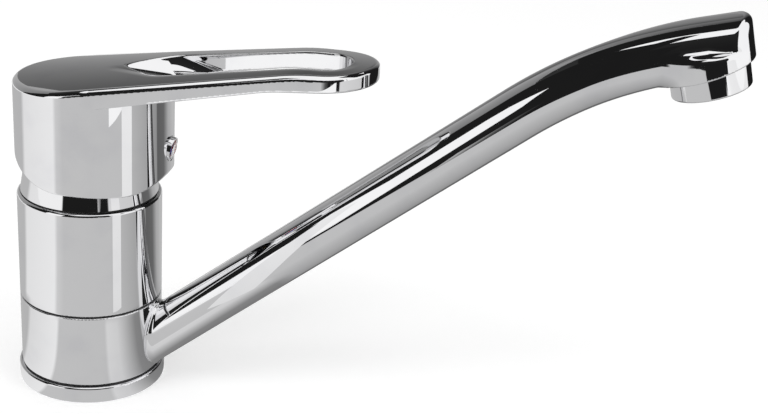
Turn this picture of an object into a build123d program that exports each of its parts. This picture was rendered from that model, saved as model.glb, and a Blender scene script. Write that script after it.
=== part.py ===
from build123d import *
import os
from math import asin, cos, radians, sin, sqrt, tan

# A deck-mounted single-lever kitchen mixer tap with a low swivel spout.
# All sizes are in millimetres. The column axis is Z, the deck is z = 0,
# and at rest both the spout and the lever point along +X.

# Fits
running_gap = 0.05
seat_gap = 0.05
axial_play = 0.05

# Column, from the deck up
column_radius = 25.0
base_ring_step = 1.0
base_ring_radius = column_radius + base_ring_step
base_ring_height = 5.8
base_ring_round = 0.8
glide_thickness = 0.6
glide_inset = 0.7
collar_height = 26.2
collar_wall = 5.0
collar_bore_radius = column_radius - collar_wall
spigot_radius = collar_bore_radius - running_gap
collar_edge_round = 0.4
housing_height = 38.4
housing_top_round = 1.2
housing_wall = 3.5
deck_gasket_width = 3.0
deck_gasket_depth = 2.0
deck_gasket_inset = 2.8
deck_gasket_radius = base_ring_radius - deck_gasket_inset

# Passages and fixing holes in the body
gallery_depth = 3.45
gallery_radius = spigot_radius - gallery_depth
gallery_span = 11.0
gallery_port_radius = 4.0
collar_port_radius = 5.0
seal_radius = 1.1
seal_offset = 9.0
inlet_offset = 9.0
inlet_thread_radius = 4.5
inlet_thread_depth = 11.0
port_radius = 3.5
outlet_offset = 9.0
stud_offset = 12.0
stud_hole_radius = 3.4
stud_hole_depth = 12.0

# Ceramic cartridge, held down by a ring nut in the top of the housing
nut_thread_radius = column_radius - housing_wall
nut_lap = 1.5
cartridge_floor = 4.8
cartridge_radius = nut_thread_radius - nut_lap
cartridge_wall = 2.7
cartridge_bore_gap = 0.2
cartridge_base_height = 5.0
port_seal_width = 1.5
port_seal_height = 1.6
disc_thickness = 3.5
chamber_radius = cartridge_radius - cartridge_wall
disc_clearance = 1.3
fixed_disc_radius = chamber_radius - disc_clearance
disc_step = 2.5
moving_disc_radius = fixed_disc_radius - disc_step
disc_gap = 0.03
mixing_pocket_rim = 6.2
mixing_pocket_radius = moving_disc_radius - mixing_pocket_rim
mixing_pocket_depth = 1.8
mixing_pocket_shift = 3.5
driver_height = 5.0
driver_step = 0.5
driver_radius = moving_disc_radius - driver_step
driver_peg_radius = 1.2
driver_peg_length = 1.5
driver_peg_inset = 3.0
driver_peg_offset = driver_radius - driver_peg_inset
housing_neck_step = 4.0
housing_neck_radius = cartridge_radius - housing_neck_step
housing_neck_wall = 2.0
housing_neck_height = 7.0
carrier_gap = 0.15
carrier_flange_gap = 0.3
carrier_flange_height = 2.3
carrier_flange_radius = chamber_radius - carrier_flange_gap
carrier_neck_radius = housing_neck_radius - housing_neck_wall
carrier_neck_height = 12.5
carrier_slot_length = 13.0
stem_slot_gap = 0.2
shoulder_height = 19.0

# Lever stem inside the cartridge
stem_square = 8.0
stem_lean = 12.5
stem_cover = 10.22
stem_block_below = 4.5
stem_neck_radius = 2.0
ball_radius = 2.5
ball_drop = 9.8
ball_gap = 0.3
ball_height = 2.9
pin_radius = 1.5
pin_inset = 1.0
pin_half_length = carrier_neck_radius - pin_inset

# Retaining nut and dome cover
nut_thread_height = 8.5
nut_neck_step = 0.7
nut_neck_radius = nut_thread_radius - nut_neck_step
nut_neck_height = 6.5
nut_bore_gap = 0.3
nut_slot_width = 5.0
nut_slot_depth = 3.0
dome_set_back = 1.2
dome_foot_radius = column_radius - dome_set_back
dome_gasket_thickness = 0.5
dome_gasket_inset = 0.5
dome_gasket_radius = dome_foot_radius - dome_gasket_inset
dome_draft = 1.2
dome_shoulder_radius = dome_foot_radius - dome_draft
dome_skirt_height = 7.5
dome_roof_span = 8.6
dome_top_radius = dome_shoulder_radius - dome_roof_span
dome_rise = 4.5
dome_wall = 1.6
dome_round = 0.8

# Lever handle: a hub over the dome and a lever with a finger slot
hub_overhang = 0.2
hub_radius = column_radius + hub_overhang
hub_front_step = 0.3
hub_front_radius = hub_radius - hub_front_step
hub_front_centre = 4.4
hub_wall = 1.5
hub_lap = 1.7
hub_height = 38.05
hub_back_sweep = 38.0
hub_front_sweep = 13.0
hub_flat_end = 20.0
hub_roof_thickness = 7.55
lever_tip_radius = 17.9
lever_tip_centre = 81.6
crown_radius = 140.0
crown_slope = 8.8
crown_bend_x = 74.0
crown_end_slope = 1.5
crown_bend_radius = 80.0
lever_depth = 9.05
underside_slope = 11.2
underside_bend_x = 67.0
underside_end_slope = 3.5
underside_bend_radius = 60.0
lever_edge_round = 2.0
rail_width = 9.0
slot_wide_radius = 11.3
slot_wide_centre = 30.0
slot_nose_radius = 4.0
slot_nose_centre = 14.0
slot_ramp_slope = 12.5
socket_half_width = 7.5
socket_depth = 17.0
socket_cap = 7.0
rib_half_width = 5.2
rib_cap = 1.0

# Handle set screw and index plug
screw_drop = 10.2
screw_radius = 3.0
screw_length = 10.0
screw_key_radius = 1.7
screw_key_depth = 3.5
plug_radius = 4.2
plug_back = 17.5
plug_front = 23.5
plug_lip = 0.6
plug_recess = 1.6
mark_thickness = 0.5
mark_split = 0.1
lens_bulge = 0.9

# Spout: straight rising tube, one long bend, short outlet head
tube_radius = 9.0
tube_wall = 1.5
braze_gap = 0.02
spout_reach = 202.0
spout_root_height = 18.4
spout_rise = 39.1
spout_bend_radius = 150.0
outlet_tilt = 15.0
head_radius = 14.5
head_drop = 7.0
head_slant = 10.0
head_roof_radius = 14.6
head_round = 2.4
head_thread_radius = 10.5
head_thread_depth = 4.0

# Aerator
aerator_radius = 12.7
aerator_height = 6.8
aerator_slant = 4.0
aerator_round = 0.6
aerator_sleeve_height = 2.6
aerator_bore_radius = 9.4
aerator_lip_radius = 8.4
aerator_lip_height = 1.8
washer_bore_radius = 8.0
screen_thickness = 0.4
screen_hole_radius = 0.6
screen_pitch = 1.9
screen_gap = 0.6
insert_rib_width = 0.8
insert_rib_pitch = 2.6
insert_rim = 1.2

# Heights that follow from the sizes above
collar_bottom = base_ring_height + glide_thickness + axial_play
collar_top = collar_bottom + collar_height
shoulder = collar_top + axial_play + glide_thickness
housing_top = shoulder + housing_height
gallery_mid = collar_bottom + collar_height / 2
cartridge_seat = shoulder + cartridge_floor
disc_seat = cartridge_seat + cartridge_base_height
moving_disc_bottom = disc_seat + disc_thickness + disc_gap
driver_bottom = moving_disc_bottom + disc_thickness
carrier_bottom = driver_bottom + driver_height + carrier_gap
carrier_step = carrier_bottom + carrier_flange_height
carrier_top = carrier_step + carrier_neck_height
pivot_height = driver_bottom + ball_height + ball_drop
cartridge_shoulder = disc_seat + shoulder_height
nut_step = cartridge_shoulder + nut_thread_height
nut_top = nut_step + nut_neck_height
dome_foot = housing_top + dome_gasket_thickness
dome_shoulder = dome_foot + dome_skirt_height
hub_bottom = dome_shoulder - hub_lap
crown_height = hub_bottom + hub_height
hub_roof = crown_height - hub_roof_thickness
underside_height = crown_height - lever_depth
disc_rest_shift = -ball_drop * sin(radians(stem_lean))

# Heights along the stem, from its pivot
stem_top = crown_height - pivot_height - stem_cover
screw_height = stem_top - screw_drop
socket_bottom = stem_top - socket_depth
socket_top = stem_top + socket_cap
rib_bottom = screw_height - rib_half_width
rib_top = stem_top + rib_cap


def rod(radius, bottom, top):
    """Upright round bar on the column axis."""
    return Pos(0, 0, bottom) * Cylinder(radius, top - bottom, align=(Align.CENTER, Align.CENTER, Align.MIN))


def ring(outer, inner, bottom, top):
    """Upright ring on the column axis."""
    return rod(outer, bottom, top) - rod(inner, bottom, top)


def rim_edges(part, radius, height):
    """The circular edges of a part that have this radius and height."""
    return part.edges().filter_by(
        lambda e: e.geom_type == GeomType.CIRCLE
        and abs(e.radius - radius) < axial_play
        and abs(e.center().Z - height) < axial_play
    )


def turned(points):
    """Body of revolution about the column axis from (radius, height) corners."""
    return revolve(make_face(Plane.XZ * Polyline(*points, close=True)), axis=Axis.Z)


def port_places():
    """The cold inlet, the hot inlet and the mixed-water outlet under the cartridge."""
    return [(0, -inlet_offset), (0, inlet_offset), (-outlet_offset, 0)]


def main_body():
    """Brass casting: cartridge housing above, swivel spigot with its water passages below."""
    body = rod(column_radius, shoulder, housing_top)
    body = fillet(rim_edges(body, column_radius, housing_top), housing_top_round)
    body = fillet(rim_edges(body, column_radius, shoulder), collar_edge_round)
    body += rod(spigot_radius, 0, shoulder)
    body -= ring(spigot_radius + seat_gap, gallery_radius, gallery_mid - gallery_span / 2,
                 gallery_mid + gallery_span / 2)
    groove_half = seal_radius + seat_gap
    for side in (-1, 1):
        mid = gallery_mid + side * seal_offset
        body -= ring(spigot_radius + seat_gap, spigot_radius - 2 * groove_half,
                     mid - groove_half, mid + groove_half)
    body -= rod(cartridge_radius + cartridge_bore_gap, cartridge_seat, housing_top)
    body -= rod(nut_thread_radius, cartridge_shoulder, housing_top)
    for side in (-1, 1):
        body -= Pos(0, side * inlet_offset, 0) * rod(inlet_thread_radius, 0, inlet_thread_depth)
        body -= Pos(0, side * inlet_offset, 0) * rod(port_radius, 0, cartridge_seat)
        body -= Pos(side * stud_offset, 0, 0) * rod(stud_hole_radius, 0, stud_hole_depth)
    body -= Pos(-outlet_offset, 0, 0) * rod(port_radius, gallery_mid, cartridge_seat)
    body -= Pos(0, 0, gallery_mid) * Rot(Y=90) * Cylinder(gallery_port_radius, 2 * spigot_radius)
    return body


def base_ring():
    """Chromed foot ring round the spigot, grooved underneath for the deck gasket."""
    foot = ring(base_ring_radius, spigot_radius + seat_gap, 0, base_ring_height)
    foot = fillet(rim_edges(foot, base_ring_radius, base_ring_height), base_ring_round)
    return foot - deck_gasket()


def deck_gasket():
    """Flat rubber ring set flush into the underside of the foot ring."""
    return ring(deck_gasket_radius + deck_gasket_width / 2, deck_gasket_radius - deck_gasket_width / 2,
                0, deck_gasket_depth)


def glide_ring(bottom):
    """Thin plastic washer that the swivel collar turns against."""
    return ring(column_radius - glide_inset, spigot_radius + seat_gap, bottom, bottom + glide_thickness)


def spigot_seals():
    """Two rubber rings that seal the water gallery above and below."""
    seals = [Pos(0, 0, gallery_mid + side * seal_offset) * Torus(spigot_radius - seal_radius, seal_radius)
             for side in (-1, 1)]
    return Compound(children=seals)


def cartridge_base():
    """Plastic base of the cartridge, with three ports and a seal pocket under each."""
    base = rod(cartridge_radius, cartridge_seat, disc_seat)
    for x, y in port_places():
        base -= Pos(x, y, 0) * rod(port_radius, cartridge_seat, disc_seat)
        base -= Pos(x, y, 0) * rod(port_radius + port_seal_width + seat_gap, cartridge_seat,
                                   cartridge_seat + port_seal_height)
    return base


def port_seals():
    """Three rubber rings pressed between the cartridge base and its seat in the body."""
    seal = ring(port_radius + port_seal_width, port_radius, cartridge_seat, cartridge_seat + port_seal_height)
    return Compound(children=[Pos(x, y, 0) * seal for x, y in port_places()])


def fixed_disc():
    """Lower ceramic disc, keyed to the cartridge base."""
    disc = rod(fixed_disc_radius, disc_seat, disc_seat + disc_thickness)
    for x, y in port_places():
        disc -= Pos(x, y, 0) * rod(port_radius, disc_seat, disc_seat + disc_thickness)
    return disc


def cartridge_housing():
    """Plastic cup over the discs, with a neck that the turning stem carrier runs in."""
    cup = rod(cartridge_radius, disc_seat, cartridge_shoulder)
    cup += rod(housing_neck_radius, cartridge_shoulder, cartridge_shoulder + housing_neck_height)
    cup -= rod(chamber_radius, disc_seat, carrier_step + axial_play)
    cup -= rod(carrier_neck_radius + running_gap, disc_seat, cartridge_shoulder + housing_neck_height)
    return cup


def moving_disc():
    """Upper ceramic disc that slides over the ports, with a mixing pocket underneath."""
    disc = rod(moving_disc_radius, moving_disc_bottom, driver_bottom)
    disc -= Pos(-mixing_pocket_shift, 0, 0) * rod(mixing_pocket_radius, moving_disc_bottom,
                                                  moving_disc_bottom + mixing_pocket_depth)
    for side in (-1, 1):
        disc -= Pos(0, side * driver_peg_offset, 0) * rod(
            driver_peg_radius + seat_gap, driver_bottom - driver_peg_length - seat_gap, driver_bottom)
    return Pos(disc_rest_shift, 0, 0) * disc


def disc_driver():
    """Plastic plate pegged to the moving disc, with a hole for the ball of the stem."""
    plate = rod(driver_radius, driver_bottom, driver_bottom + driver_height)
    plate -= rod(ball_radius + ball_gap, driver_bottom, driver_bottom + driver_height)
    for side in (-1, 1):
        plate += Pos(0, side * driver_peg_offset, 0) * rod(
            driver_peg_radius, driver_bottom - driver_peg_length, driver_bottom)
    return Pos(disc_rest_shift, 0, 0) * plate


def stem_carrier():
    """Plastic sleeve that turns in the cartridge neck and holds the stem's pivot pin."""
    sleeve = rod(carrier_flange_radius, carrier_bottom, carrier_step)
    sleeve += rod(carrier_neck_radius, carrier_step, carrier_top)
    mid = (carrier_bottom + carrier_top) / 2
    slot_width = stem_square + 2 * stem_slot_gap
    sleeve -= Pos(0, 0, mid) * Box(carrier_slot_length, slot_width, carrier_top - carrier_bottom)
    return sleeve - Pos(0, 0, pivot_height) * Rot(X=90) * Cylinder(pin_radius, 2 * carrier_neck_radius)


def pivot_pin():
    """Steel pin across the carrier, on which the stem tilts."""
    return Pos(0, 0, pivot_height) * Rot(X=90) * Cylinder(pin_radius, 2 * pin_half_length)


def on_stem(part):
    """Place a part that is drawn round the stem: its pivot at the origin, the stem along Z."""
    return Pos(0, 0, pivot_height) * Rot(Y=stem_lean) * part


def stem():
    """Square lever stem: pivot hole at its foot, ball end in the disc driver below."""
    mid = (stem_top - stem_block_below) / 2
    bar = Pos(0, 0, mid) * Box(stem_square, stem_square, stem_top + stem_block_below)
    bar += rod(stem_neck_radius, -ball_drop, -stem_block_below)
    bar += Pos(0, 0, -ball_drop) * Sphere(ball_radius)
    bar -= Rot(X=90) * Cylinder(pin_radius + running_gap, 2 * stem_square)
    return on_stem(bar)


def retaining_nut():
    """Brass ring nut that screws into the body and clamps the cartridge down."""
    nut = rod(nut_thread_radius - seat_gap, cartridge_shoulder, nut_step)
    nut += rod(nut_neck_radius, nut_step, nut_top)
    nut -= rod(housing_neck_radius + nut_bore_gap, cartridge_shoulder, nut_top)
    for turn in (0, 90):
        slot = Box(2 * nut_thread_radius, nut_slot_width, 2 * nut_slot_depth)
        nut -= Pos(0, 0, nut_top) * Rot(Z=turn) * slot
    return nut


def dome_gasket():
    """Thin rubber ring between the dome cover and the top of the body."""
    return ring(dome_gasket_radius, nut_thread_radius, housing_top, dome_foot)


def dome_cover():
    """Chromed cover on the nut's neck, closed over the cartridge but for the stem's opening."""
    top = dome_shoulder + dome_rise
    dome = turned([(0, dome_foot), (dome_foot_radius, dome_foot), (dome_shoulder_radius, dome_shoulder),
                   (dome_top_radius, top), (0, top)])
    dome = fillet(rim_edges(dome, dome_shoulder_radius, dome_shoulder), dome_round)
    bore = nut_neck_radius + seat_gap
    slope = dome_rise / (dome_shoulder_radius - dome_top_radius)
    roof = dome_shoulder + (dome_shoulder_radius - bore) * slope - dome_wall
    dome -= turned([(0, dome_foot), (bore, dome_foot), (bore, roof),
                    (dome_top_radius, roof + (bore - dome_top_radius) * slope), (0, roof)])
    return dome - rod(dome_top_radius, dome_foot, top + dome_rise)


def two_circle_outline(back_radius, back_x, front_radius, front_x):
    """Plan face bounded by two circles on the X axis and their common outer tangents."""
    lean = asin((back_radius - front_radius) / (front_x - back_x))
    back = (back_x + back_radius * sin(lean), back_radius * cos(lean))
    front = (front_x + front_radius * sin(lean), front_radius * cos(lean))
    edges = [
        Line(back, front),
        ThreePointArc(front, (front_x + front_radius, 0), (front[0], -front[1])),
        Line((front[0], -front[1]), (back[0], -back[1])),
        ThreePointArc((back[0], -back[1]), (back_x - back_radius, 0), back),
    ]
    return make_face(edges)


def side_prism(outline):
    """Extrude an (x, z) outline across the whole handle."""
    return extrude(Plane.XZ * make_face(outline), amount=2 * hub_radius, both=True)


lever_tip = lever_tip_centre + lever_tip_radius
sky = crown_height + lever_tip
crown_rise = tan(radians(crown_slope))
crown_bend_height = crown_height + crown_bend_x * crown_rise


def crown_body():
    """Everything under the lever's crowned top, which rises straight and then levels off."""
    start = -2 * hub_radius
    end = lever_tip + hub_radius
    path = Plane.XZ * FilletPolyline(
        (start, crown_height + start * crown_rise),
        (crown_bend_x, crown_bend_height),
        (end, crown_bend_height + (end - crown_bend_x) * tan(radians(crown_end_slope))),
        radius=crown_bend_radius,
    )
    half = hub_radius + lever_edge_round
    sag = crown_radius - sqrt(crown_radius ** 2 - half ** 2)
    depth = crown_bend_height - hub_bottom
    section = make_face([
        ThreePointArc((-half, -sag), (0, 0), (half, -sag)),
        Line((half, -sag), (half, -depth)),
        Line((half, -depth), (-half, -depth)),
        Line((-half, -depth), (-half, -sag)),
    ])
    plane = Plane(origin=path @ 0, x_dir=(0, 1, 0), z_dir=path % 0)
    return sweep(plane * section, path=path)


def lever_space():
    """Everything above the lever's underside."""
    start = -2 * hub_radius
    end = lever_tip + hub_radius
    rise = tan(radians(underside_slope))
    bend_height = underside_height + underside_bend_x * rise
    end_height = bend_height + (end - underside_bend_x) * tan(radians(underside_end_slope))
    under = FilletPolyline(
        (start, underside_height + start * rise),
        (underside_bend_x, bend_height),
        (end, end_height),
        radius=underside_bend_radius,
    )
    rest = Polyline((end, end_height), (end, sky), (start, sky), (start, underside_height + start * rise))
    return side_prism(under.edges() + rest.edges())


def hub_space():
    """Everything above the hub's lower edge, which sweeps up to the back and the front."""
    back = -hub_back_sweep
    front = hub_flat_end + hub_front_sweep
    corner = 1 - cos(radians(45))
    return side_prism([
        Line((0, hub_bottom), (hub_flat_end, hub_bottom)),
        ThreePointArc((hub_flat_end, hub_bottom),
                      (front - hub_front_sweep * corner, hub_bottom + hub_front_sweep * corner),
                      (front, hub_bottom + hub_front_sweep)),
        Line((front, hub_bottom + hub_front_sweep), (front, sky)),
        Line((front, sky), (back, sky)),
        Line((back, sky), (back, hub_bottom + hub_back_sweep)),
        ThreePointArc((back, hub_bottom + hub_back_sweep),
                      (back + hub_back_sweep * corner, hub_bottom + hub_back_sweep * corner),
                      (0, hub_bottom)),
    ])


def finger_slot():
    """Cutter for the slot between the lever's rails, with a ramp that runs out on the hub."""
    tip_radius = lever_tip_radius - rail_width
    reach = sky - hub_bottom
    slot = extrude(Pos(0, 0, hub_bottom) * two_circle_outline(
        slot_wide_radius, slot_wide_centre, tip_radius, lever_tip_centre), amount=reach)
    slot += extrude(Pos(0, 0, hub_bottom) * two_circle_outline(
        slot_nose_radius, slot_nose_centre, slot_wide_radius, slot_wide_centre), amount=reach)
    apex = slot_nose_centre - slot_nose_radius
    apex_height = crown_height + apex * crown_rise
    fall = (sky - apex) * tan(radians(slot_ramp_slope))
    above_ramp = side_prism(Polyline((apex, apex_height), (sky, apex_height - fall), (sky, sky), (apex, sky),
                                     close=True).edges())
    return slot & above_ramp


def set_screw_hole():
    """Cutter along the set screw: its thread, then the wider seat of the index plug."""
    aim = Pos(0, 0, screw_height) * Rot(Y=90)
    hole = aim * rod(screw_radius + seat_gap, 0, plug_back)
    hole += aim * rod(plug_radius + seat_gap, plug_back, plug_front + hub_radius)
    return on_stem(hole)


def lever_handle():
    """Zinc casting: a hollow hub round the stem's socket, and the slotted lever."""
    plan = two_circle_outline(hub_radius, 0, lever_tip_radius, lever_tip_centre)
    hub_plan = two_circle_outline(hub_radius, 0, hub_front_radius, hub_front_centre)
    cave_plan = two_circle_outline(hub_radius - hub_wall, 0, hub_front_radius - hub_wall, hub_front_centre)
    hub_block = extrude(Pos(0, 0, hub_bottom) * hub_plan, amount=sky - hub_bottom)
    lever = extrude(Pos(0, 0, hub_bottom) * plan, amount=sky - hub_bottom) & lever_space()
    handle = (lever + (hub_block & hub_space())) & crown_body()
    top = handle.faces().sort_by(lambda f: f.center().Z)[-1]
    handle = fillet(top.outer_wire().edges(), lever_edge_round)
    handle -= finger_slot()
    handle -= extrude(Pos(0, 0, hub_bottom) * cave_plan, amount=hub_roof - hub_bottom)
    grip = Pos(0, 0, (socket_bottom + socket_top) / 2) * Box(
        2 * socket_half_width, 2 * socket_half_width, socket_top - socket_bottom)
    rib = Pos(hub_radius / 2, 0, (rib_bottom + rib_top) / 2) * Box(
        hub_radius, 2 * rib_half_width, rib_top - rib_bottom)
    handle += on_stem(grip + rib) & hub_block
    width = stem_square + 2 * seat_gap
    socket = Pos(0, 0, stem_top / 2) * Box(width, width, stem_top + 2 * seat_gap)
    return handle - on_stem(socket) - set_screw_hole()


def along_screw(part):
    """Place a part that is drawn along Z onto the set screw's axis."""
    return on_stem(Pos(0, 0, screw_height) * Rot(Y=90) * part)


def set_screw():
    """Steel grub screw that clamps the handle to the stem."""
    start = stem_square / 2 + seat_gap
    screw = rod(screw_radius, start, start + screw_length)
    hexagon = Pos(0, 0, start + screw_length) * RegularPolygon(screw_key_radius, 6)
    return along_screw(screw - extrude(hexagon, amount=-screw_key_depth))


def index_plug():
    """Chromed plug that hides the set screw, cupped for the temperature marks."""
    plug = rod(plug_radius, plug_back, plug_front)
    return along_screw(plug - rod(plug_radius - plug_lip, plug_front - plug_recess, plug_front))


def temperature_mark(side):
    """Half disc of coloured plastic under the lens."""
    bottom = plug_front - plug_recess
    radius = plug_radius - plug_lip - seat_gap
    disc = rod(radius, bottom, bottom + mark_thickness)
    half = Pos(0, side * (radius + mark_split), bottom) * Box(2 * plug_radius, 2 * radius, 2 * plug_recess)
    return along_screw(disc & half)


def index_lens():
    """Clear domed lens over the temperature marks."""
    bottom = plug_front - plug_recess + mark_thickness
    radius = plug_radius - plug_lip - seat_gap
    sphere = (radius ** 2 + lens_bulge ** 2) / (2 * lens_bulge)
    lens = rod(radius, bottom, plug_front + lens_bulge)
    return along_screw(lens & Pos(0, 0, plug_front + lens_bulge - sphere) * Sphere(sphere))


def swivel_collar():
    """Chromed ring that turns on the spigot and carries the spout, ported to the gallery."""
    collar = ring(column_radius, collar_bore_radius, collar_bottom, collar_top)
    for height in (collar_bottom, collar_top):
        collar = fillet(rim_edges(collar, column_radius, height), collar_edge_round)
    port = Pos(column_radius, 0, gallery_mid) * Rot(Y=90) * Cylinder(collar_port_radius, column_radius)
    return collar - port


rise = radians(spout_rise)
tilt = radians(outlet_tilt)
bend_start_x = spout_reach - spout_bend_radius * (sin(rise) - sin(tilt))
bend_start_height = spout_root_height + (bend_start_x - column_radius) * tan(rise)
outlet_height = bend_start_height + spout_bend_radius * (cos(tilt) - cos(rise))


def spout_path():
    """Centre line of the spout, from the column axis to the middle of the outlet head."""
    half = (rise + tilt) / 2
    mid = (bend_start_x + spout_bend_radius * (sin(rise) - sin(half)),
           bend_start_height + spout_bend_radius * (cos(half) - cos(rise)))
    straight = Line((0, spout_root_height - column_radius * tan(rise)), (bend_start_x, bend_start_height))
    bend = ThreePointArc((bend_start_x, bend_start_height), mid, (spout_reach, outlet_height))
    return Plane.XZ * Wire([straight, bend])


def at_outlet(part):
    """Place a part drawn round the outlet axis: Z up the axis, origin on the spout's centre line."""
    return Pos(spout_reach, 0, outlet_height) * Rot(Y=-outlet_tilt) * part


def bent_bar(radius):
    """Round bar along the spout's centre line."""
    path = spout_path()
    return sweep(Plane(origin=path @ 0, x_dir=(0, 1, 0), z_dir=path % 0) * Circle(radius), path=path)


def below(height, slant):
    """All that lies under a plane across the outlet axis that rises towards the nose."""
    size = 4 * head_radius
    return Pos(0, 0, height) * Rot(Y=-slant) * Pos(0, 0, -size / 2) * Box(size, size, size)


def outlet_head():
    """Upright drum at the end of the tube, under a roof that carries on the tube's top line."""
    drum = rod(head_radius, -2 * head_drop, tube_radius)
    roof = Pos(0, 0, tube_radius - head_roof_radius) * Rot(Y=90) * Cylinder(head_roof_radius, 4 * head_radius)
    head = drum & roof
    return at_outlet(fillet(head.edges().sort_by(Axis.Z)[-1], head_round))


def spout_tube():
    """Drawn brass tube with its outlet head, brazed to the side of the swivel collar."""
    tube = bent_bar(tube_radius) + outlet_head()
    tube -= bent_bar(tube_radius - tube_wall)
    tube -= at_outlet(below(-head_drop, head_slant))
    tube -= at_outlet(rod(head_thread_radius, -2 * head_drop, head_thread_depth - head_drop))
    tube -= at_outlet(rod(tube_radius - tube_wall, -head_drop, 0))
    return tube - rod(column_radius + braze_gap, -column_radius, housing_top)


def aerator_housing():
    """Chromed aerator shell: a threaded sleeve up into the head, a wider rim under its slanted edge."""
    top = -head_drop - seat_gap
    bottom = top - aerator_height
    shell = (rod(aerator_radius, 2 * bottom, 0) & below(top, head_slant)) - below(bottom, aerator_slant)
    shell = fillet(shell.edges().sort_by(Axis.Z)[0], aerator_round)
    shell += rod(head_thread_radius - seat_gap, aerator_floor, sleeve_top)
    shell -= rod(aerator_bore_radius, aerator_floor, sleeve_top)
    return at_outlet(shell - rod(aerator_lip_radius, 2 * bottom, top))


aerator_floor = -head_drop - seat_gap - aerator_height + aerator_lip_height
sleeve_top = -head_drop - seat_gap + aerator_sleeve_height
screen_stack = aerator_floor + 2 * screen_thickness + screen_gap


def screen_disc():
    """Thin steel disc pierced with a square field of small holes."""
    radius = aerator_bore_radius - seat_gap
    disc = rod(radius, 0, screen_thickness)
    count = int((radius - screen_pitch) / screen_pitch)
    field = [(i * screen_pitch, j * screen_pitch)
             for i in range(-count, count + 1) for j in range(-count, count + 1)
             if (i * i + j * j) * screen_pitch ** 2 < (radius - screen_pitch) ** 2]
    holes = Sketch() + [Pos(x, y, 0) * Circle(screen_hole_radius) for x, y in field]
    return disc - extrude(holes, amount=screen_thickness)


def aerator_screens():
    """Two pierced discs on the aerator's lip, held apart by a rim."""
    lower = Pos(0, 0, aerator_floor) * screen_disc()
    spacer = ring(aerator_bore_radius - seat_gap, aerator_lip_radius, aerator_floor + screen_thickness,
                  aerator_floor + screen_thickness + screen_gap)
    upper = Pos(0, 0, screen_stack - screen_thickness) * screen_disc()
    return at_outlet(lower + spacer + upper)


def aerator_insert():
    """Plastic jet breaker over the screens: a rim crossed by thin ribs."""
    radius = aerator_bore_radius - seat_gap
    insert = ring(radius, radius - insert_rim, screen_stack, sleeve_top)
    count = int((radius - insert_rim) / insert_rib_pitch)
    tall = sleeve_top - screen_stack
    mid = (sleeve_top + screen_stack) / 2
    ribs = Part() + [Pos(0, i * insert_rib_pitch, mid) * Box(2 * radius, insert_rib_width, tall)
                     for i in range(-count, count + 1)]
    return at_outlet(insert + (ribs & rod(radius, screen_stack, sleeve_top)))


def aerator_washer():
    """Rubber washer squeezed between the aerator's sleeve and the head."""
    return at_outlet(ring(head_thread_radius - seat_gap, washer_bore_radius, sleeve_top,
                          head_thread_depth - head_drop))


nodes = {
    "main_body": main_body(),
    "base_ring": base_ring(),
    "deck_gasket": deck_gasket(),
    "lower_glide_ring": glide_ring(base_ring_height),
    "upper_glide_ring": glide_ring(shoulder - glide_thickness),
    "spigot_seals": spigot_seals(),
    "cartridge_base": cartridge_base(),
    "cartridge_port_seals": port_seals(),
    "cartridge_housing": cartridge_housing(),
    "fixed_ceramic_disc": fixed_disc(),
    "retaining_nut": retaining_nut(),
    "dome_gasket": dome_gasket(),
    "dome_cover": dome_cover(),
    "moving_ceramic_disc": moving_disc(),
    "disc_driver": disc_driver(),
    "stem_carrier": stem_carrier(),
    "pivot_pin": pivot_pin(),
    "lever_stem": stem(),
    "lever_handle": lever_handle(),
    "handle_set_screw": set_screw(),
    "index_plug": index_plug(),
    "hot_mark": temperature_mark(1),
    "cold_mark": temperature_mark(-1),
    "index_lens": index_lens(),
    "swivel_collar": swivel_collar(),
    "spout_tube": spout_tube(),
    "aerator_housing": aerator_housing(),
    "aerator_screens": aerator_screens(),
    "aerator_insert": aerator_insert(),
    "aerator_washer": aerator_washer(),
}

os.makedirs("parts", exist_ok=True)
for name, piece in nodes.items():
    export_step(piece, os.path.join("parts", name + ".step"))
    print(name, round(piece.volume, 1))
print("pivot height", round(pivot_height, 3), "housing top", round(housing_top, 3))
print("outlet height", round(outlet_height, 3), "disc travel per radian",
      round(2 * ball_drop * sin(radians(stem_lean)) / radians(2 * stem_lean), 4))
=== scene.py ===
from math import cos, radians, sin, sqrt, tan

import bmesh
import bpy
import numpy as np
from mathutils import Matrix, Vector


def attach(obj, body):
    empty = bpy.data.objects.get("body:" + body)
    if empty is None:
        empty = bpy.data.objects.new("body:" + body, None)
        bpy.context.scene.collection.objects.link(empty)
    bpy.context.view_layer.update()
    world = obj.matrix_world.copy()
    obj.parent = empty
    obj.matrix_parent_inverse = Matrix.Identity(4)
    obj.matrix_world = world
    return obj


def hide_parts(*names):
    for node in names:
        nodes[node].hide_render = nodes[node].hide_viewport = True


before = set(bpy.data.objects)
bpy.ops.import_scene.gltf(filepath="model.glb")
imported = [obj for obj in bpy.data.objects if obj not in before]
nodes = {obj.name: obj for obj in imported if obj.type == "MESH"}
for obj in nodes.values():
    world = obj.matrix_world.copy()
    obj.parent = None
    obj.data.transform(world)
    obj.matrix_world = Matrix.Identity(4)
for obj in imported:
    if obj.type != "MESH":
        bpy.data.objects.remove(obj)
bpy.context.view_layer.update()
for leftover in ("Cube", "Light", "Camera"):
    if leftover in bpy.data.objects:
        bpy.data.objects.remove(bpy.data.objects[leftover])
mm = 0.001


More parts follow.
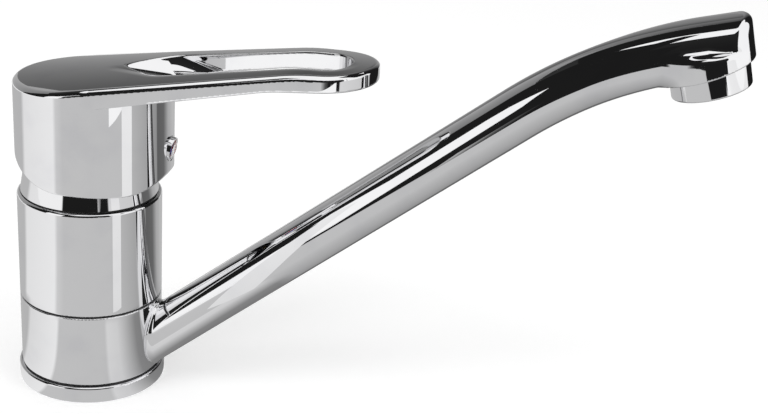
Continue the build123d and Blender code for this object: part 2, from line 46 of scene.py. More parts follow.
# Foot of the tap: a turned brass ring, polished and chromed, that hides the tap hole.
# A rubber gasket is pressed into a groove underneath and seals against the deck.
class Wire:
    """One socket of a material; sums and products of wires add the nodes that work them out."""

    def __init__(self, tree, socket=None):
        self.tree = tree
        self.socket = socket

    def make(self, kind, sockets=None, settings=None, out=0):
        """Add a node: first its settings, then the values or links of its sockets."""
        node = self.tree.nodes.new(kind)
        for key, value in (settings or {}).items():
            setattr(node, key, value)
        for key, value in (sockets or {}).items():
            if isinstance(value, Wire):
                self.tree.links.new(value.socket, node.inputs[key])
            else:
                node.inputs[key].default_value = value
        return Wire(self.tree, node.outputs[out]) if node.outputs else None

    def math(self, operation, first, second=0.0):
        return self.make("ShaderNodeMath", {0: first, 1: second}, {"operation": operation})

    def __add__(self, other):
        return self.math("ADD", self, other)

    def __sub__(self, other):
        return self.math("SUBTRACT", self, other)

    def __rsub__(self, other):
        return self.math("SUBTRACT", other, self)

    def __mul__(self, other):
        return self.math("MULTIPLY", self, other)

    __radd__ = __add__

    def between(self, low, high):
        """0 below low, 1 above high, smooth between."""
        return self.make("ShaderNodeMapRange", {"Value": self, "From Min": low, "From Max": high},
                         {"interpolation_type": "SMOOTHSTEP"})

    def blend(self, dark, light):
        """Colour from dark to light as this wire goes from 0 to 1."""
        return self.make("ShaderNodeMix", {"Factor": self, "A": (*dark, 1.0), "B": (*light, 1.0)},
                         {"data_type": "RGBA"}, out="Result")

    def noise(self, scale, detail=2.0, stretch=(1.0, 1.0, 1.0)):
        """Fine random variation; scale is in waves per metre of the piece."""
        place = self.make("ShaderNodeMapping", {"Vector": self, "Scale": stretch})
        return self.make("ShaderNodeTexNoise", {"Vector": place, "Scale": scale, "Detail": detail})


def new_finish(name):
    """An empty material: its wire of the piece's own coordinates, and a way to set its shader."""
    material = bpy.data.materials.new(name)
    material.use_nodes = True
    tree = material.node_tree
    tree.nodes.clear()
    start = Wire(tree)
    place = start.make("ShaderNodeTexCoord", out="Object")

    def shade(**sockets):
        names = {key.replace("_", " ").title().replace("Ior", "IOR"): value
                 for key, value in sockets.items()}
        surface = start.make("ShaderNodeBsdfPrincipled", names)
        start.make("ShaderNodeOutputMaterial", {"Surface": surface})

    return material, place, shade


def dress(node, material):
    """Give a solid of the frame its finish."""
    node.data.materials.clear()
    node.data.materials.append(material)


chrome_light = (0.90, 0.90, 0.91)
chrome_haze = (0.84, 0.84, 0.86)


def polished_chrome(name, ripple):
    """Bright nickel-chrome plate: a mirror with faint wiping marks, haze and a trace of ripple."""
    material, place, shade = new_finish(name)
    haze = place.noise(70.0, 3.0).between(0.45, 0.8)
    wipes = place.noise(900.0, 4.0, (0.2, 1.0, 1.0)).between(0.52, 0.8)
    swell = place.noise(45.0, 1.0)
    relief = place.make("ShaderNodeBump", {"Height": swell, "Strength": ripple, "Distance": 0.0004})
    shade(base_color=haze.blend(chrome_light, chrome_haze), metallic=1.0,
          roughness=0.02 + haze * 0.03 + wipes * 0.025, normal=relief)
    return material


def moulded_rubber(name, tone):
    """Black moulded rubber: matt, slightly dusty, with a fine skin."""
    material, place, shade = new_finish(name)
    dust = place.noise(400.0, 5.0).between(0.4, 0.75)
    skin = place.make("ShaderNodeBump", {"Height": place.noise(2500.0, 2.0), "Strength": 0.25,
                                         "Distance": 0.0001})
    shade(base_color=dust.blend((tone, tone, tone), (2.2 * tone, 2.2 * tone, 2.1 * tone)),
          roughness=0.6 + dust * 0.2, normal=skin)
    return material


turned_chrome = polished_chrome("turned_chrome", 0.02)
gasket_rubber = moulded_rubber("gasket_rubber", 0.02)
dress(nodes["base_ring"], turned_chrome)
dress(nodes["deck_gasket"], gasket_rubber)


# Main body: one brass casting, bored for the cartridge above and drilled for the water below.
# It is plated on the outside only, so the spigot, the bores and the holes stay bare brass.
plated_radius = 22.3 * mm
brass_fresh = (0.78, 0.60, 0.30)
brass_dull = (0.52, 0.37, 0.17)


def part_plated(name):
    """Chrome on the outer wall of a turned brass piece, bare brass with turning marks inside."""
    material, place, shade = new_finish(name)
    flat = place.make("ShaderNodeVectorMath", {0: place, 1: (1.0, 1.0, 0.0)}, {"operation": "MULTIPLY"})
    radius = place.make("ShaderNodeVectorMath", {0: flat}, {"operation": "LENGTH"}, out="Value")
    plate = radius.between(plated_radius - 0.1 * mm, plated_radius + 0.1 * mm)
    haze = place.noise(70.0, 3.0).between(0.45, 0.8)
    tarnish = place.noise(160.0, 4.0).between(0.35, 0.75)
    marks = place.noise(3000.0, 2.0, (0.05, 0.05, 1.0))
    colour = place.make("ShaderNodeMix", {"Factor": plate, "A": tarnish.blend(brass_fresh, brass_dull),
                                          "B": haze.blend(chrome_light, chrome_haze)},
                        {"data_type": "RGBA"}, out="Result")
    relief = place.make("ShaderNodeBump", {"Height": marks * (1.0 - plate), "Strength": 0.3,
                                           "Distance": 0.0001})
    shade(base_color=colour, metallic=1.0, roughness=0.3 + tarnish * 0.15 - plate * (0.28 + tarnish * 0.15)
          + plate * haze * 0.03, normal=relief)
    return material


body_metal = part_plated("body_metal")
dress(nodes["main_body"], body_metal)


# Glide rings and spigot seals: two dark plastic washers that the swivel collar turns against,
# and two rubber rings in the spigot's grooves that keep the water in the gallery.
def moulded_plastic(name, dark, light, gloss):
    """Injection-moulded plastic with a faint flow pattern."""
    material, place, shade = new_finish(name)
    flow = place.noise(120.0, 3.0, (1.0, 0.6, 2.0)).between(0.3, 0.7)
    skin = place.make("ShaderNodeBump", {"Height": place.noise(1800.0, 2.0), "Strength": 0.12,
                                         "Distance": 0.0001})
    shade(base_color=flow.blend(dark, light), roughness=gloss + flow * 0.08, normal=skin)
    return material


glide_plastic = moulded_plastic("glide_plastic", (0.02, 0.02, 0.022), (0.035, 0.035, 0.037), 0.42)
for washer in ("lower_glide_ring", "upper_glide_ring"):
    dress(nodes[washer], glide_plastic)
seal_rubber = moulded_rubber("seal_rubber", 0.016)
dress(nodes["spigot_seals"], seal_rubber)


# Swivel collar: a chromed brass ring that turns on the spigot and carries the spout.
# Its bore is bare brass and runs on the two rubber rings.
dress(nodes["swivel_collar"], part_plated("collar_metal"))


# Spout: a drawn brass tube of 18 mm, bent once, with a cast outlet head brazed on its end.
# Tube, head and braze are ground into one skin, polished and chromed.
tube_radius = 9.0
tube_wall = 1.5
spout_reach = 202.0
root_x = 25.0
root_height = 18.4
spout_rise = radians(39.1)
outlet_tilt = radians(15.0)
bend_radius = 150.0
bend_x = spout_reach - bend_radius * (sin(spout_rise) - sin(outlet_tilt))
bend_height = root_height + (bend_x - root_x) * tan(spout_rise)
bend_centre = (bend_x + bend_radius * sin(spout_rise), bend_height - bend_radius * cos(spout_rise))
outlet_height = bend_height + bend_radius * (cos(outlet_tilt) - cos(spout_rise))
head_radius = 14.5
head_drop = 7.0
head_slant = radians(10.0)
head_flare = 40.0
head_widening = 2.0
head_squareness = 0.9
head_shoulder = 0.0
head_shoulder_round = 1.6
head_round = 2.4
head_side_round = 0.1
head_blend = 3.0
head_blend_fade = 1.6
head_blend_least = 0.05
head_lip_round = 0.4
head_bore = 10.5
head_bore_depth = 4.0
root_blend = 2.2
collar_skin = 24.9
collar_low = 6.5
collar_high = 32.6
braze_depth = 0.6


def round_and(first, second, radius):
    """Distance to what two shapes share, with the edge between them rounded."""
    return (np.minimum(-radius, np.maximum(first, second))
            + np.hypot(np.maximum(first + radius, 0), np.maximum(second + radius, 0)))


def round_or(first, second, radius):
    """Distance to two shapes together, with the corner between them filled."""
    return -round_and(-first, -second, radius)


def over_spout(x, z):
    """Height over the spout's centre line, square to it; past the outlet the line runs straight on."""
    turn = np.arctan2(bend_centre[0] - x, z - bend_centre[1])
    rising = (z - bend_height) * cos(spout_rise) - (x - bend_x) * sin(spout_rise)
    bent = np.hypot(x - bend_centre[0], z - bend_centre[1]) - bend_radius
    level = (z - outlet_height) * cos(outlet_tilt) - (x - spout_reach) * sin(outlet_tilt)
    return np.where(turn > spout_rise, rising, np.where(turn < outlet_tilt, level, bent))


def at_outlet(x, z):
    """Distance ahead of the outlet's axis, and height along it over the spout's centre line."""
    return ((x - spout_reach) * cos(outlet_tilt) + (z - outlet_height) * sin(outlet_tilt),
            (z - outlet_height) * cos(outlet_tilt) - (x - spout_reach) * sin(outlet_tilt))


def spout_skin(points):
    """Distance to the spout's outside: a tube that grows square towards the nose, a drum under it."""
    x, y, z = points.T
    over = np.abs(over_spout(x, z)) / tube_radius
    ahead, above = at_outlet(x, z)
    drum = np.hypot(ahead, y)
    flare = np.clip(1 + ahead / head_flare, 0, 1)
    flare = flare * flare * (3 - 2 * flare)
    aside = np.abs(y) / (tube_radius + head_widening * flare)
    power = 2 + head_squareness * flare
    tube = tube_radius * (over ** power + aside ** power) ** (1 / power) - tube_radius
    frontal = np.clip(ahead / np.maximum(drum, head_lip_round), 0, 1)
    nose = np.hypot(np.maximum(ahead, 0), y) - head_radius
    tube = round_and(tube, nose, head_side_round + head_round * frontal)
    head = round_and(drum - head_radius, above - head_shoulder, head_shoulder_round)
    blend = head_blend_least + head_blend * np.clip(1 - head_blend_fade * frontal, 0, 1)
    outer = round_or(tube, head, blend)
    edge = (ahead * tan(head_slant) - head_drop - above) * cos(head_slant)
    outer = np.where(ahead > -2 * head_radius, round_and(outer, edge, head_lip_round), outer)
    column = np.hypot(x, y)
    ends = np.maximum(collar_low - z, z - collar_high)
    collar = np.maximum(column - collar_skin, ends)
    root = np.maximum(round_or(outer, collar, root_blend), outer - root_blend)
    outer = np.where(column < root_x + root_blend, np.maximum(root, ends), outer)
    return np.maximum(outer, collar_skin - braze_depth - column)


def spout_bore(points):
    """The points of the spout that lie on its water way or on the aerator's thread."""
    x, y, z = points.T
    ahead, above = at_outlet(x, z)
    way = (np.hypot(over_spout(x, z), y) < tube_radius - tube_wall / 2) & (ahead < tube_radius)
    bore_top = head_bore_depth - head_drop + head_lip_round
    thread = (np.hypot(ahead, y) < head_bore + head_lip_round) & (above < bore_top)
    return way | thread


def slope(skin, points):
    """Direction in which the distance to a skin grows."""
    step = 0.02
    rise = [skin(points + step * axis) - skin(points - step * axis) for axis in np.eye(3)]
    return np.stack(rise, 1) / (2 * step)


def shaped(name, node, skin, grain, hidden=None):
    """A fine mesh of a solid, drawn onto its exact skin, with the skin's own normals."""
    shell = bmesh.new()
    shell.from_mesh(node.data)
    bmesh.ops.remove_doubles(shell, verts=shell.verts, dist=0.001 * mm)
    blank = bpy.data.meshes.new(name + "_blank")
    shell.to_mesh(blank)
    shell.free()
    piece = bpy.data.objects.new(name, blank)
    bpy.context.collection.objects.link(piece)
    remesh = piece.modifiers.new("grain", "REMESH")
    remesh.mode = "VOXEL"
    remesh.voxel_size = grain * mm
    mesh = bpy.data.meshes.new_from_object(piece.evaluated_get(bpy.context.evaluated_depsgraph_get()))
    piece.modifiers.clear()
    piece.data = mesh
    mesh.name = name
    points = np.empty(3 * len(mesh.vertices))
    mesh.vertices.foreach_get("co", points)
    points = points.reshape(-1, 3) / mm
    edges = np.empty(2 * len(mesh.edges), dtype=np.int32)
    mesh.edges.foreach_get("vertices", edges)
    ends = np.concatenate([edges, edges.reshape(-1, 2)[:, ::-1].ravel()]).reshape(-1, 2)
    degree = np.bincount(ends[:, 0], minlength=len(points))[:, None]
    kept = hidden(points) if hidden else np.zeros(len(points), dtype=bool)
    first = points[kept]
    rounds, relaxed_rounds, ease, least_slope = 20, 16, 0.6, 0.25
    for step in range(rounds):
        if step % 2 and step < relaxed_rounds:
            pull = [np.bincount(ends[:, 0], points[ends[:, 1], axis], len(points)) for axis in range(3)]
            points += ease * (np.stack(pull, 1) / degree - points)
        lean = slope(skin, points)
        size = np.maximum((lean * lean).sum(1), least_slope)
        move = np.clip(skin(points) / size, -grain, grain)
        points -= move[:, None] * lean
        points[kept] = first
    mesh.vertices.foreach_set("co", (points * mm).ravel())
    mesh.polygons.foreach_set("use_smooth", np.ones(len(mesh.polygons), dtype=bool))
    mesh.update()
    lean = slope(skin, points)
    lean /= np.maximum(np.linalg.norm(lean, axis=1), 1e-6)[:, None]
    lean[kept] *= -1
    mesh.normals_split_custom_set_from_vertices(lean.tolist())
    return piece


spout_piece = shaped("spout", nodes["spout_tube"], spout_skin, 0.45, spout_bore)
spout_piece.data.materials.append(polished_chrome("spout_chrome", 0.03))
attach(spout_piece, "spout")
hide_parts("spout_tube")


# Aerator: a chromed shell screwed up into the outlet head, with two pierced steel discs on its
# lip, a dark plastic jet breaker above them and a rubber washer on top.
def pierced_steel(name):
    """Thin stainless steel, rolled, with a light scale of dried water."""
    material, place, shade = new_finish(name)
    scale = place.noise(900.0, 5.0).between(0.5, 0.75)
    shade(base_color=scale.blend((0.62, 0.62, 0.63), (0.78, 0.77, 0.74)), metallic=1.0 - scale * 0.5,
          roughness=0.28 + scale * 0.25)
    return material


dress(nodes["aerator_housing"], polished_chrome("aerator_chrome", 0.02))
stainless = pierced_steel("stainless")
dress(nodes["aerator_screens"], stainless)
jet_plastic = moulded_plastic("jet_plastic", (0.03, 0.03, 0.032), (0.05, 0.05, 0.052), 0.4)
dress(nodes["aerator_insert"], jet_plastic)
dress(nodes["aerator_washer"], gasket_rubber)


# Cartridge: a plastic cup and base round two lapped ceramic discs. The upper disc slides under
# the ball of the stem, and three rubber rings seal the base to its seat in the body.
cartridge_plastic = moulded_plastic("cartridge_plastic", (0.50, 0.51, 0.52), (0.58, 0.59, 0.60), 0.35)
for moulding in ("cartridge_base", "cartridge_housing", "stem_carrier", "disc_driver"):
    dress(nodes[moulding], cartridge_plastic)
dress(nodes["cartridge_port_seals"], seal_rubber)
ceramic, ceramic_place, shade_ceramic = new_finish("lapped_ceramic")
cloud = ceramic_place.noise(300.0, 4.0).between(0.3, 0.7)
shade_ceramic(base_color=cloud.blend((0.84, 0.83, 0.79), (0.90, 0.89, 0.86)), roughness=0.1 + cloud * 0.06)
for disc in ("fixed_ceramic_disc", "moving_ceramic_disc"):
    dress(nodes[disc], ceramic)
dress(nodes["pivot_pin"], stainless)


# Retaining nut: a turned brass ring, screwed into the body over the cartridge and left bare.
# The square lever stem is cut from the same brass bar.
turned_brass, brass_place, shade_brass = new_finish("turned_brass")
tarnish = brass_place.noise(160.0, 4.0).between(0.35, 0.75)
grooves = brass_place.make("ShaderNodeBump", {"Height": brass_place.noise(3000.0, 2.0, (0.05, 0.05, 1.0)),
                                              "Strength": 0.3, "Distance": 0.0001})
shade_brass(base_color=tarnish.blend(brass_fresh, brass_dull), metallic=1.0, roughness=0.25 + tarnish * 0.2,
            normal=grooves)
for bar in ("retaining_nut", "lever_stem"):
    dress(nodes[bar], turned_brass)


# Dome cover: a pressed brass cap, chromed, pushed over the nut's neck onto a thin rubber ring.
# It closes the column round the stem and shows as a bright cone under the handle.
dress(nodes["dome_gasket"], gasket_rubber)
dress(nodes["dome_cover"], polished_chrome("dome_chrome", 0.02))


# Lever handle: a zinc casting, polished and chromed. Its hub sits over the dome, and its lever
# rises forward, levels off at the tip and has a long finger slot with a ramp onto the hub.
hub_radius = 25.2
hub_front_radius = 24.9
hub_front_x = 4.4
hub_wall = 1.5
hub_bottom = 78.0
hub_back_sweep = 38.0
hub_front_sweep = 13.0
hub_flat_end = 20.0
hub_roof = 108.5
hub_lip_round = 0.6
hub_cave_round = 0.3
lever_tip_radius = 17.9
lever_tip_x = 81.6
crown_radius = 140.0
crown_line = (116.05, radians(8.8), 74.0, radians(1.5), 80.0)
under_line = (107.0, radians(11.2), 67.0, radians(3.5), 60.0)
crown_edge_round = 2.5
crown_edge_cut = 0.45
crown_crisp_round = 0.2
under_edge_round = 0.6
slot_tip_radius = 8.9
slot_wide_radius = 11.3
slot_wide_x = 30.0
slot_nose_radius = 4.0
slot_nose_x = 14.0
slot_apex_x = 10.0
slot_ramp = radians(12.5)
slot_rim_round = 0.7
slot_foot_round = 7.0
slot_roll_width = 4.0
slot_roll_depth = 0.8
pivot_height = 62.83
stem_lean = radians(12.5)
stem_low = -1.0
stem_top = 43.05
stem_half = 4.05
socket_box = (-7.5, 7.5, 7.5, 26.0, 50.0)
rib_box = (0.0, 25.2, 5.2, 27.6, 44.0)
screw_height = 32.8
screw_radius = 3.05
plug_radius = 4.25
plug_back = 17.5
plug_hole_round = 0.15


def two_circles(x, y, back_radius, back_x, front_radius, front_x):
    """Distance to the plan outline of two circles and their common tangents."""
    length = front_x - back_x
    taper = (back_radius - front_radius) / length
    straight = sqrt(1 - taper * taper)
    ahead = x - back_x
    aside = np.abs(y)
    along = straight * ahead - taper * aside
    side = straight * aside + taper * ahead - back_radius
    back = np.hypot(ahead, aside) - back_radius
    front = np.hypot(ahead - length, aside) - front_radius
    return np.where(along < 0, back, np.where(along > straight * length, front, side))


def above_line(x, z, height, rise, knee_x, end_rise, radius):
    """Height over a line that rises from the hub and bends once, measured square to it."""
    knee = (knee_x, height + knee_x * tan(rise))
    run = radius * tan((rise - end_rise) / 2)
    start = (knee[0] - run * cos(rise), knee[1] - run * sin(rise))
    centre = (start[0] + radius * sin(rise), start[1] - radius * cos(rise))
    turn = np.clip(np.arctan2(centre[0] - x, z - centre[1]), end_rise, rise)
    return (x - centre[0]) * -np.sin(turn) + (z - centre[1]) * np.cos(turn) - radius


def block(x, y, z, low_x, high_x, half_y, low_z, high_z):
    """Distance to a square-edged block."""
    return np.maximum(np.maximum(np.maximum(low_x - x, x - high_x), np.abs(y) - half_y),
                      np.maximum(low_z - z, z - high_z))


def lever_skin(points):
    """Distance to the handle's metal: hub, lever, slot, and the stem's socket inside."""
    x, y, z = points.T
    crown = np.hypot(above_line(x, z, *crown_line) + crown_radius, y) - crown_radius
    plan = two_circles(x, y, hub_radius, 0.0, lever_tip_radius, lever_tip_x)
    lever = round_and(plan, -above_line(x, z, *under_line), under_edge_round)
    hub_plan = two_circles(x, y, hub_radius, 0.0, hub_front_radius, hub_front_x)
    back = np.hypot(x, np.minimum(z - hub_bottom - hub_back_sweep, 0)) - hub_back_sweep
    front = np.hypot(x - hub_flat_end, np.minimum(z - hub_bottom - hub_front_sweep, 0)) - hub_front_sweep
    sweep = np.where(x < 0, back, np.where(x > hub_flat_end, front, hub_bottom - z))
    hub = round_and(hub_plan, sweep, hub_lip_round)
    slot = np.minimum(
        two_circles(x, y, slot_wide_radius, slot_wide_x, slot_tip_radius, lever_tip_x),
        two_circles(x, y, slot_nose_radius, slot_nose_x, slot_wide_radius, slot_wide_x))
    near = np.clip(-y / slot_wide_radius, 0, 1)
    near = near * near * (3 - 2 * near)
    roll = slot_roll_depth * near * np.square(np.clip(1 - np.maximum(slot, 0) / slot_roll_width, 0, 1))
    side = np.minimum(lever, hub)
    crowned = round_and(side - crown_edge_cut, crown + roll, crown_edge_round)
    outer = round_and(crowned, side, crown_crisp_round)
    apex_height = crown_line[0] + slot_apex_x * tan(crown_line[1])
    ramp = (apex_height - z) * cos(slot_ramp) - (x - slot_apex_x) * sin(slot_ramp)
    outer = round_and(outer, -round_and(slot, ramp, slot_foot_round), slot_rim_round * (1 + near))
    cave_plan = two_circles(x, y, hub_radius - hub_wall, 0.0, hub_front_radius - hub_wall, hub_front_x)
    metal = round_and(outer, -np.maximum(cave_plan, z - hub_roof), hub_cave_round)
    ahead = x * cos(stem_lean) - (z - pivot_height) * sin(stem_lean)
    above = x * sin(stem_lean) + (z - pivot_height) * cos(stem_lean)
    boss = np.minimum(block(ahead, y, above, *socket_box), block(ahead, y, above, *rib_box))
    within = np.maximum(cave_plan - hub_wall / 2, z - hub_roof - hub_wall)
    metal = np.minimum(metal, np.maximum(boss, within))
    stem = block(ahead, y, above, -stem_half, stem_half, stem_half, stem_low, stem_top)
    metal = np.maximum(metal, -stem)
    drill = np.hypot(y, above - screw_height)
    screw_hole = np.maximum(drill - screw_radius, -ahead)
    plug_hole = np.maximum(drill - plug_radius, plug_back - ahead)
    return round_and(metal, -np.minimum(screw_hole, plug_hole), plug_hole_round)


cave_middle = 2.05 * mm
cave_squeeze = 0.92
cave_radius = 24.35 * mm
cast_height = 109.5 * mm
# Tones of the hub's hollow inside: cast zinc, painted darker than bare zinc as shade in the hollow.
shaded_zinc_light = (0.30, 0.30, 0.31)
shaded_zinc_dark = (0.16, 0.16, 0.17)


def plated_casting(name):
    """Chrome over the outside of a zinc casting; the hollow inside is left dull, as it was cast, and
    painted darker as shade in the hollow.
    """
    material, place, shade = new_finish(name)
    middle = place.make("ShaderNodeVectorMath", {0: place, 1: (cave_middle, 0.0, 0.0)},
                        {"operation": "SUBTRACT"})
    flat = place.make("ShaderNodeVectorMath", {0: middle, 1: (cave_squeeze, 1.0, 0.0)},
                      {"operation": "MULTIPLY"})
    radius = place.make("ShaderNodeVectorMath", {0: flat}, {"operation": "LENGTH"}, out="Value")
    height = place.make("ShaderNodeSeparateXYZ", {0: place}, out="Z")
    outside = place.math("MAXIMUM", radius.between(cave_radius - 0.2 * mm, cave_radius + 0.2 * mm),
                         height.between(cast_height, cast_height + 0.3 * mm))
    haze = place.noise(70.0, 3.0).between(0.45, 0.8)
    sand = place.noise(1500.0, 4.0).between(0.3, 0.7)
    # Inside the hollow: dull cast zinc with painted shade; outside: chrome.
    colour = place.make("ShaderNodeMix", {"Factor": outside, "A": sand.blend(shaded_zinc_light, shaded_zinc_dark),
                                          "B": haze.blend(chrome_light, chrome_haze)},
                        {"data_type": "RGBA"}, out="Result")
    relief = place.make("ShaderNodeBump", {"Height": sand * (1.0 - outside), "Strength": 0.4,
                                           "Distance": 0.0002})
    shade(base_color=colour, metallic=1.0, roughness=0.6 - outside * 0.58 + outside * haze * 0.03,
          normal=relief)
    return material


lever_piece = shaped("lever", nodes["lever_handle"], lever_skin, 0.35)
lever_piece.data.materials.append(plated_casting("lever_metal"))
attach(lever_piece, "handle")
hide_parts("lever_handle")
dress(nodes["handle_set_screw"], stainless)


# Index plug: a small chromed cup pressed into the set screw's hole, with a red and a blue half
# disc under a clear domed lens.
dress(nodes["index_plug"], polished_chrome("plug_chrome", 0.0))
dress(nodes["hot_mark"], moulded_plastic("hot_plastic", (0.55, 0.03, 0.02), (0.66, 0.05, 0.03), 0.25))
dress(nodes["cold_mark"], moulded_plastic("cold_plastic", (0.03, 0.10, 0.48), (0.05, 0.14, 0.58), 0.25))
lens, lens_place, shade_lens = new_finish("clear_lens")
smear = lens_place.noise(600.0, 3.0).between(0.5, 0.8)
shade_lens(base_color=smear.blend((0.98, 0.98, 0.98), (0.93, 0.94, 0.95)), roughness=0.01 + smear * 0.04,
           transmission_weight=1.0, ior=1.49)
dress(nodes["index_lens"], lens)


# Studio: a pale floor, a white surround and soft lamps. Grey and black sheets stand round the
# tap and lie on the floor, out of the camera's sight, so that the chrome has tones to mirror.
camera_turn = -21.0


def sheet(name, rows, tones):
    """A glowing sheet through rows of corners, with a colour at each; only mirrors see it."""
    width = len(rows[0])
    mesh = bpy.data.meshes.new(name)
    mesh.from_pydata([corner for row in rows for corner in row], [],
                     [(r * width + c, r * width + c + 1, (r + 1) * width + c + 1, (r + 1) * width + c)
                      for r in range(len(rows) - 1) for c in range(width - 1)])
    glow = mesh.color_attributes.new("tone", "FLOAT_COLOR", "POINT")
    glow.data.foreach_set("color", [part for row in tones for tone in row for part in (*tone, 1.0)])
    piece = bpy.data.objects.new(name, mesh)
    bpy.context.collection.objects.link(piece)
    material = bpy.data.materials.new(name)
    material.use_nodes = True
    material.node_tree.nodes.clear()
    start = Wire(material.node_tree)
    tone = start.make("ShaderNodeAttribute", settings={"attribute_name": "tone"}, out="Color")
    start.make("ShaderNodeOutputMaterial", {"Surface": start.make("ShaderNodeEmission", {"Color": tone})})
    mesh.materials.append(material)
    piece.visible_camera = False
    piece.visible_diffuse = False
    piece.visible_shadow = False
    piece.visible_transmission = False


def round_tap(azimuth, radius, height):
    """A place round the tap; azimuth 0 is towards the camera, and it grows to the right."""
    turn = radians(azimuth - camera_turn)
    return radius * sin(turn), -radius * cos(turn), height


card_distance = 1.3
card_height = 0.09
card_foot = -3.97
card_black = 0.012


def card(name, azimuths, elevations, low_tones, high_tones):
    """A curved card round the tap, with a tone at each of its four corners."""
    rows, tones = [], []
    across, upward = 17, 9
    for rise in np.linspace(*elevations, upward):
        up = (rise - elevations[0]) / (elevations[1] - elevations[0])
        ends = [low + (high - low) * up for low, high in zip(low_tones, high_tones)]
        radius = card_distance * cos(radians(rise))
        height = card_height + card_distance * sin(radians(rise))
        rows.append([round_tap(turn, radius, height) for turn in np.linspace(*azimuths, across)])
        tones.append([(tone,) * 3 for tone in np.linspace(*ends, across)])
    sheet(name, rows, tones)


card("back_card", (150, 192), (card_foot, 31), (0.44, 0.29), (0.07, 0.09))
card("high_back_card", (150, 192), (31, 50), (0.16, 0.27), (0.05, 0.20))
card("back_left_card", (-168, -112), (card_foot, 50), (0.50, 0.28), (0.28, 0.20))
card("back_top_card", (128, 248), (50, 62), (0.02, 0.03), (0.02, 0.03))
card("corner_card", (128, 150), (card_foot, 50), (0.02, 0.42), (0.02, 0.06))
card("back_right_card", (92, 128), (card_foot, 50), (card_black, card_black), (card_black, card_black))
card("left_card", (-112, -70), (card_foot, 62), (card_black, card_black), (card_black, card_black))
card("high_left_card", (-70, -43), (32, 74), (card_black, card_black), (card_black, card_black))
card("front_card", (-43, 30), (card_foot, 48), (card_black, card_black), (0.02, 0.02))

# A pale card stands close on the right of the column, a black strip runs along the spout, a white
# one under the near side of the lever, and two black cards hang over and before the outlet head.
right_places = [(0.0385, 0.020, 0.102), (0.0655, 0.010, 0.096)]
sheet("right_card", [[(place[0], -0.036, place[edge]) for place in right_places] for edge in (1, 2)],
      [[(0.78,) * 3] * 2, [(0.90,) * 3] * 2])
strip_places = [(0.092, 0.052, 0.085), (0.112, 0.064, 0.102), (0.130, 0.073, 0.115), (0.160, 0.086, 0.135),
                (0.200, 0.100, 0.145)]
sheet("spout_strip", [[(place[0], -0.15, place[edge]) for place in strip_places] for edge in (1, 2)],
      [[(tone,) * 3 for tone in (0.5, 0.1, card_black, card_black, card_black)]] * 2)
under_places = [(0.026, 0.096, 0.107), (0.048, 0.099, 0.111), (0.070, 0.102, 0.114), (0.105, 0.104, 0.117)]
sheet("lever_strip", [[(place[0], -0.04, place[edge]) for place in under_places] for edge in (1, 2)],
      [[(1.0,) * 3] * 4] * 2)
sheet("head_card", [[(0.100, -0.008, 0.22), (0.215, -0.023, 0.22)],
                    [(0.100, 0.045, 0.22), (0.215, 0.045, 0.22)]],
      [[(card_black,) * 3] * 2] * 2)
sheet("neck_card", [[(0.130, -0.041, height), (0.175, -0.075, height)] for height in (0.125, 0.180)],
      [[(card_black,) * 3] * 2] * 2)

# Painted reflection of the floor round the tap, on a sheet that only mirrors see: the tones its polished
# sides mirror, darker towards the camera and on the spout's side: (azimuth, tone).
inner_floor_reflection = [(-180, 0.49), (-108, 0.49), (-100, 0.74), (-50, 0.87), (-46, 0.57), (16, 0.56), (20, 0.70),
               (34, 0.66), (62, 0.25), (90, 0.20), (112, 0.30), (140, 0.50), (180, 0.49)]
middle_floor_reflection = [(-180, 0.48), (-120, 0.50), (-112, 0.81), (-55, 0.88), (-50, 0.64), (-40, 0.57), (27, 0.56),
                (64, 0.42), (90, 0.30), (92, 0.12), (108, 0.14), (122, 0.42), (140, 0.51), (180, 0.48)]
far_floor_reflection = [(-180, 0.90), (-127, 0.92), (-46, 0.95), (-44, card_black), (27, card_black), (29, 0.72),
             (90, 0.60), (92, card_black), (128, card_black), (132, 0.85), (180, 0.90)]
floor_reflection_rings = [(0.0262, inner_floor_reflection), (0.082, inner_floor_reflection), (0.09, middle_floor_reflection), (0.45, middle_floor_reflection),
               (0.46, far_floor_reflection), (0.8, far_floor_reflection), (1.297, far_floor_reflection)]
floor_turns = np.linspace(-180, 180, 361)
floor_lift = 0.1 * mm
# The sheet of painted floor reflection lies just over the pale floor.
sheet("floor_tones",
      [[round_tap(turn, radius, floor_lift) for turn in floor_turns] for radius, _ in floor_reflection_rings],
      [[(tone,) * 3 for tone in np.interp(floor_turns, *zip(*stops))] for _, stops in floor_reflection_rings])

floor_mesh = bpy.data.meshes.new("floor")
floor_half = 4.0
floor_drop = 0.2 * mm
floor_glow = 0.34
floor_mesh.from_pydata([(-floor_half, -floor_half, 0), (floor_half, -floor_half, 0),
                        (floor_half, floor_half, 0), (-floor_half, floor_half, 0)], [], [(0, 1, 2, 3)])
floor = bpy.data.objects.new("floor", floor_mesh)
floor.location.z = -floor_drop
bpy.context.collection.objects.link(floor)
floor_paper = bpy.data.materials.new("floor_paper")
floor_paper.use_nodes = True
floor_paper.node_tree.nodes.clear()
paper = Wire(floor_paper.node_tree)
rays = [paper.make("ShaderNodeLightPath", out=ray)
        for ray in ("Is Camera Ray", "Is Glossy Ray", "Is Transmission Ray")]
seen = paper.math("MAXIMUM", paper.math("MAXIMUM", rays[0], rays[1]), rays[2])
grain = paper.make("ShaderNodeTexCoord", out="Object").noise(300.0, 3.0).between(0.2, 0.8)
matt = paper.make("ShaderNodeBsdfDiffuse", {"Color": grain.blend((0.86, 0.86, 0.86), (0.88, 0.88, 0.88))})
glow = paper.make("ShaderNodeEmission", {"Color": (1.0, 1.0, 1.0, 1.0), "Strength": seen * floor_glow})
paper.make("ShaderNodeOutputMaterial", {"Surface": paper.make("ShaderNodeAddShader", {0: matt, 1: glow})})
floor_mesh.materials.append(floor_paper)

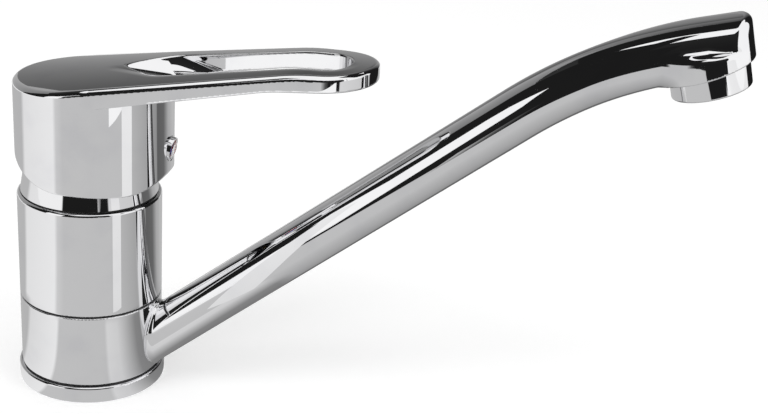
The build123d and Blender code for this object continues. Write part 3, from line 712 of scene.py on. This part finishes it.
world = bpy.data.worlds.new("studio")
bpy.context.scene.world = world
world.use_nodes = True
world.node_tree.nodes.clear()
sky = Wire(world.node_tree)
rays = [sky.make("ShaderNodeLightPath", out=ray)
        for ray in ("Is Camera Ray", "Is Glossy Ray", "Is Transmission Ray")]
seen = sky.math("MAXIMUM", sky.math("MAXIMUM", rays[0], rays[1]), rays[2])
sky_fill = 0.62
surround = sky.make("ShaderNodeBackground", {"Color": (1.0, 1.0, 1.0, 1.0),
                                             "Strength": sky_fill + seen * (1.0 - sky_fill)})
sky.make("ShaderNodeOutputWorld", {"Surface": surround})


def lamp(name, place, target, size, power):
    """A soft rectangular lamp."""
    light = bpy.data.lights.new(name, "AREA")
    light.shape = "RECTANGLE"
    light.size, light.size_y = size
    light.energy = power
    piece = bpy.data.objects.new(name, light)
    piece.location = place
    piece.rotation_euler = (Vector(target) - Vector(place)).to_track_quat("-Z", "Y").to_euler()
    piece.visible_glossy = False
    bpy.context.collection.objects.link(piece)


tap_middle = (0.06, 0.0, 0.07)
lamp("key_lamp", (-0.7, -0.9, 1.3), tap_middle, (0.8, 0.8), 7.0)
lamp("fill_lamp", (1.1, -0.5, 0.9), tap_middle, (0.6, 0.6), 3.0)


# Camera: the photograph's own view, from the front right and a little above, slightly rolled.
# Its place was fitted to the edges of the column, the spout and the lever.
camera_distance = 0.45198
camera_height = 0.2526
camera_pitch = radians(22.26)
camera_pan = radians(13.22 + camera_turn)
camera_roll = radians(4.21)
focal_pixels = 1355.0
image_width = 768
sensor_width = 36.0
eye = Vector((-camera_distance * sin(radians(camera_turn)),
              -camera_distance * cos(radians(camera_turn)), camera_height))
ahead = Vector((cos(camera_pitch) * sin(camera_pan), cos(camera_pitch) * cos(camera_pan),
                -sin(camera_pitch)))
right = Vector((cos(camera_pan), -sin(camera_pan), 0.0))
up = right.cross(ahead)
across = cos(camera_roll) * right + sin(camera_roll) * up
upright = cos(camera_roll) * up - sin(camera_roll) * right
lens_data = bpy.data.cameras.new("camera")
lens_data.sensor_width = sensor_width
lens_data.lens = focal_pixels * sensor_width / image_width
lens_data.clip_start = 0.01
camera = bpy.data.objects.new("camera", lens_data)
camera.matrix_world = Matrix((across, upright, -ahead)).transposed().to_4x4()
camera.location = eye
bpy.context.collection.objects.link(camera)
bpy.context.scene.camera = camera
bpy.context.scene.view_settings.view_transform = "Standard"
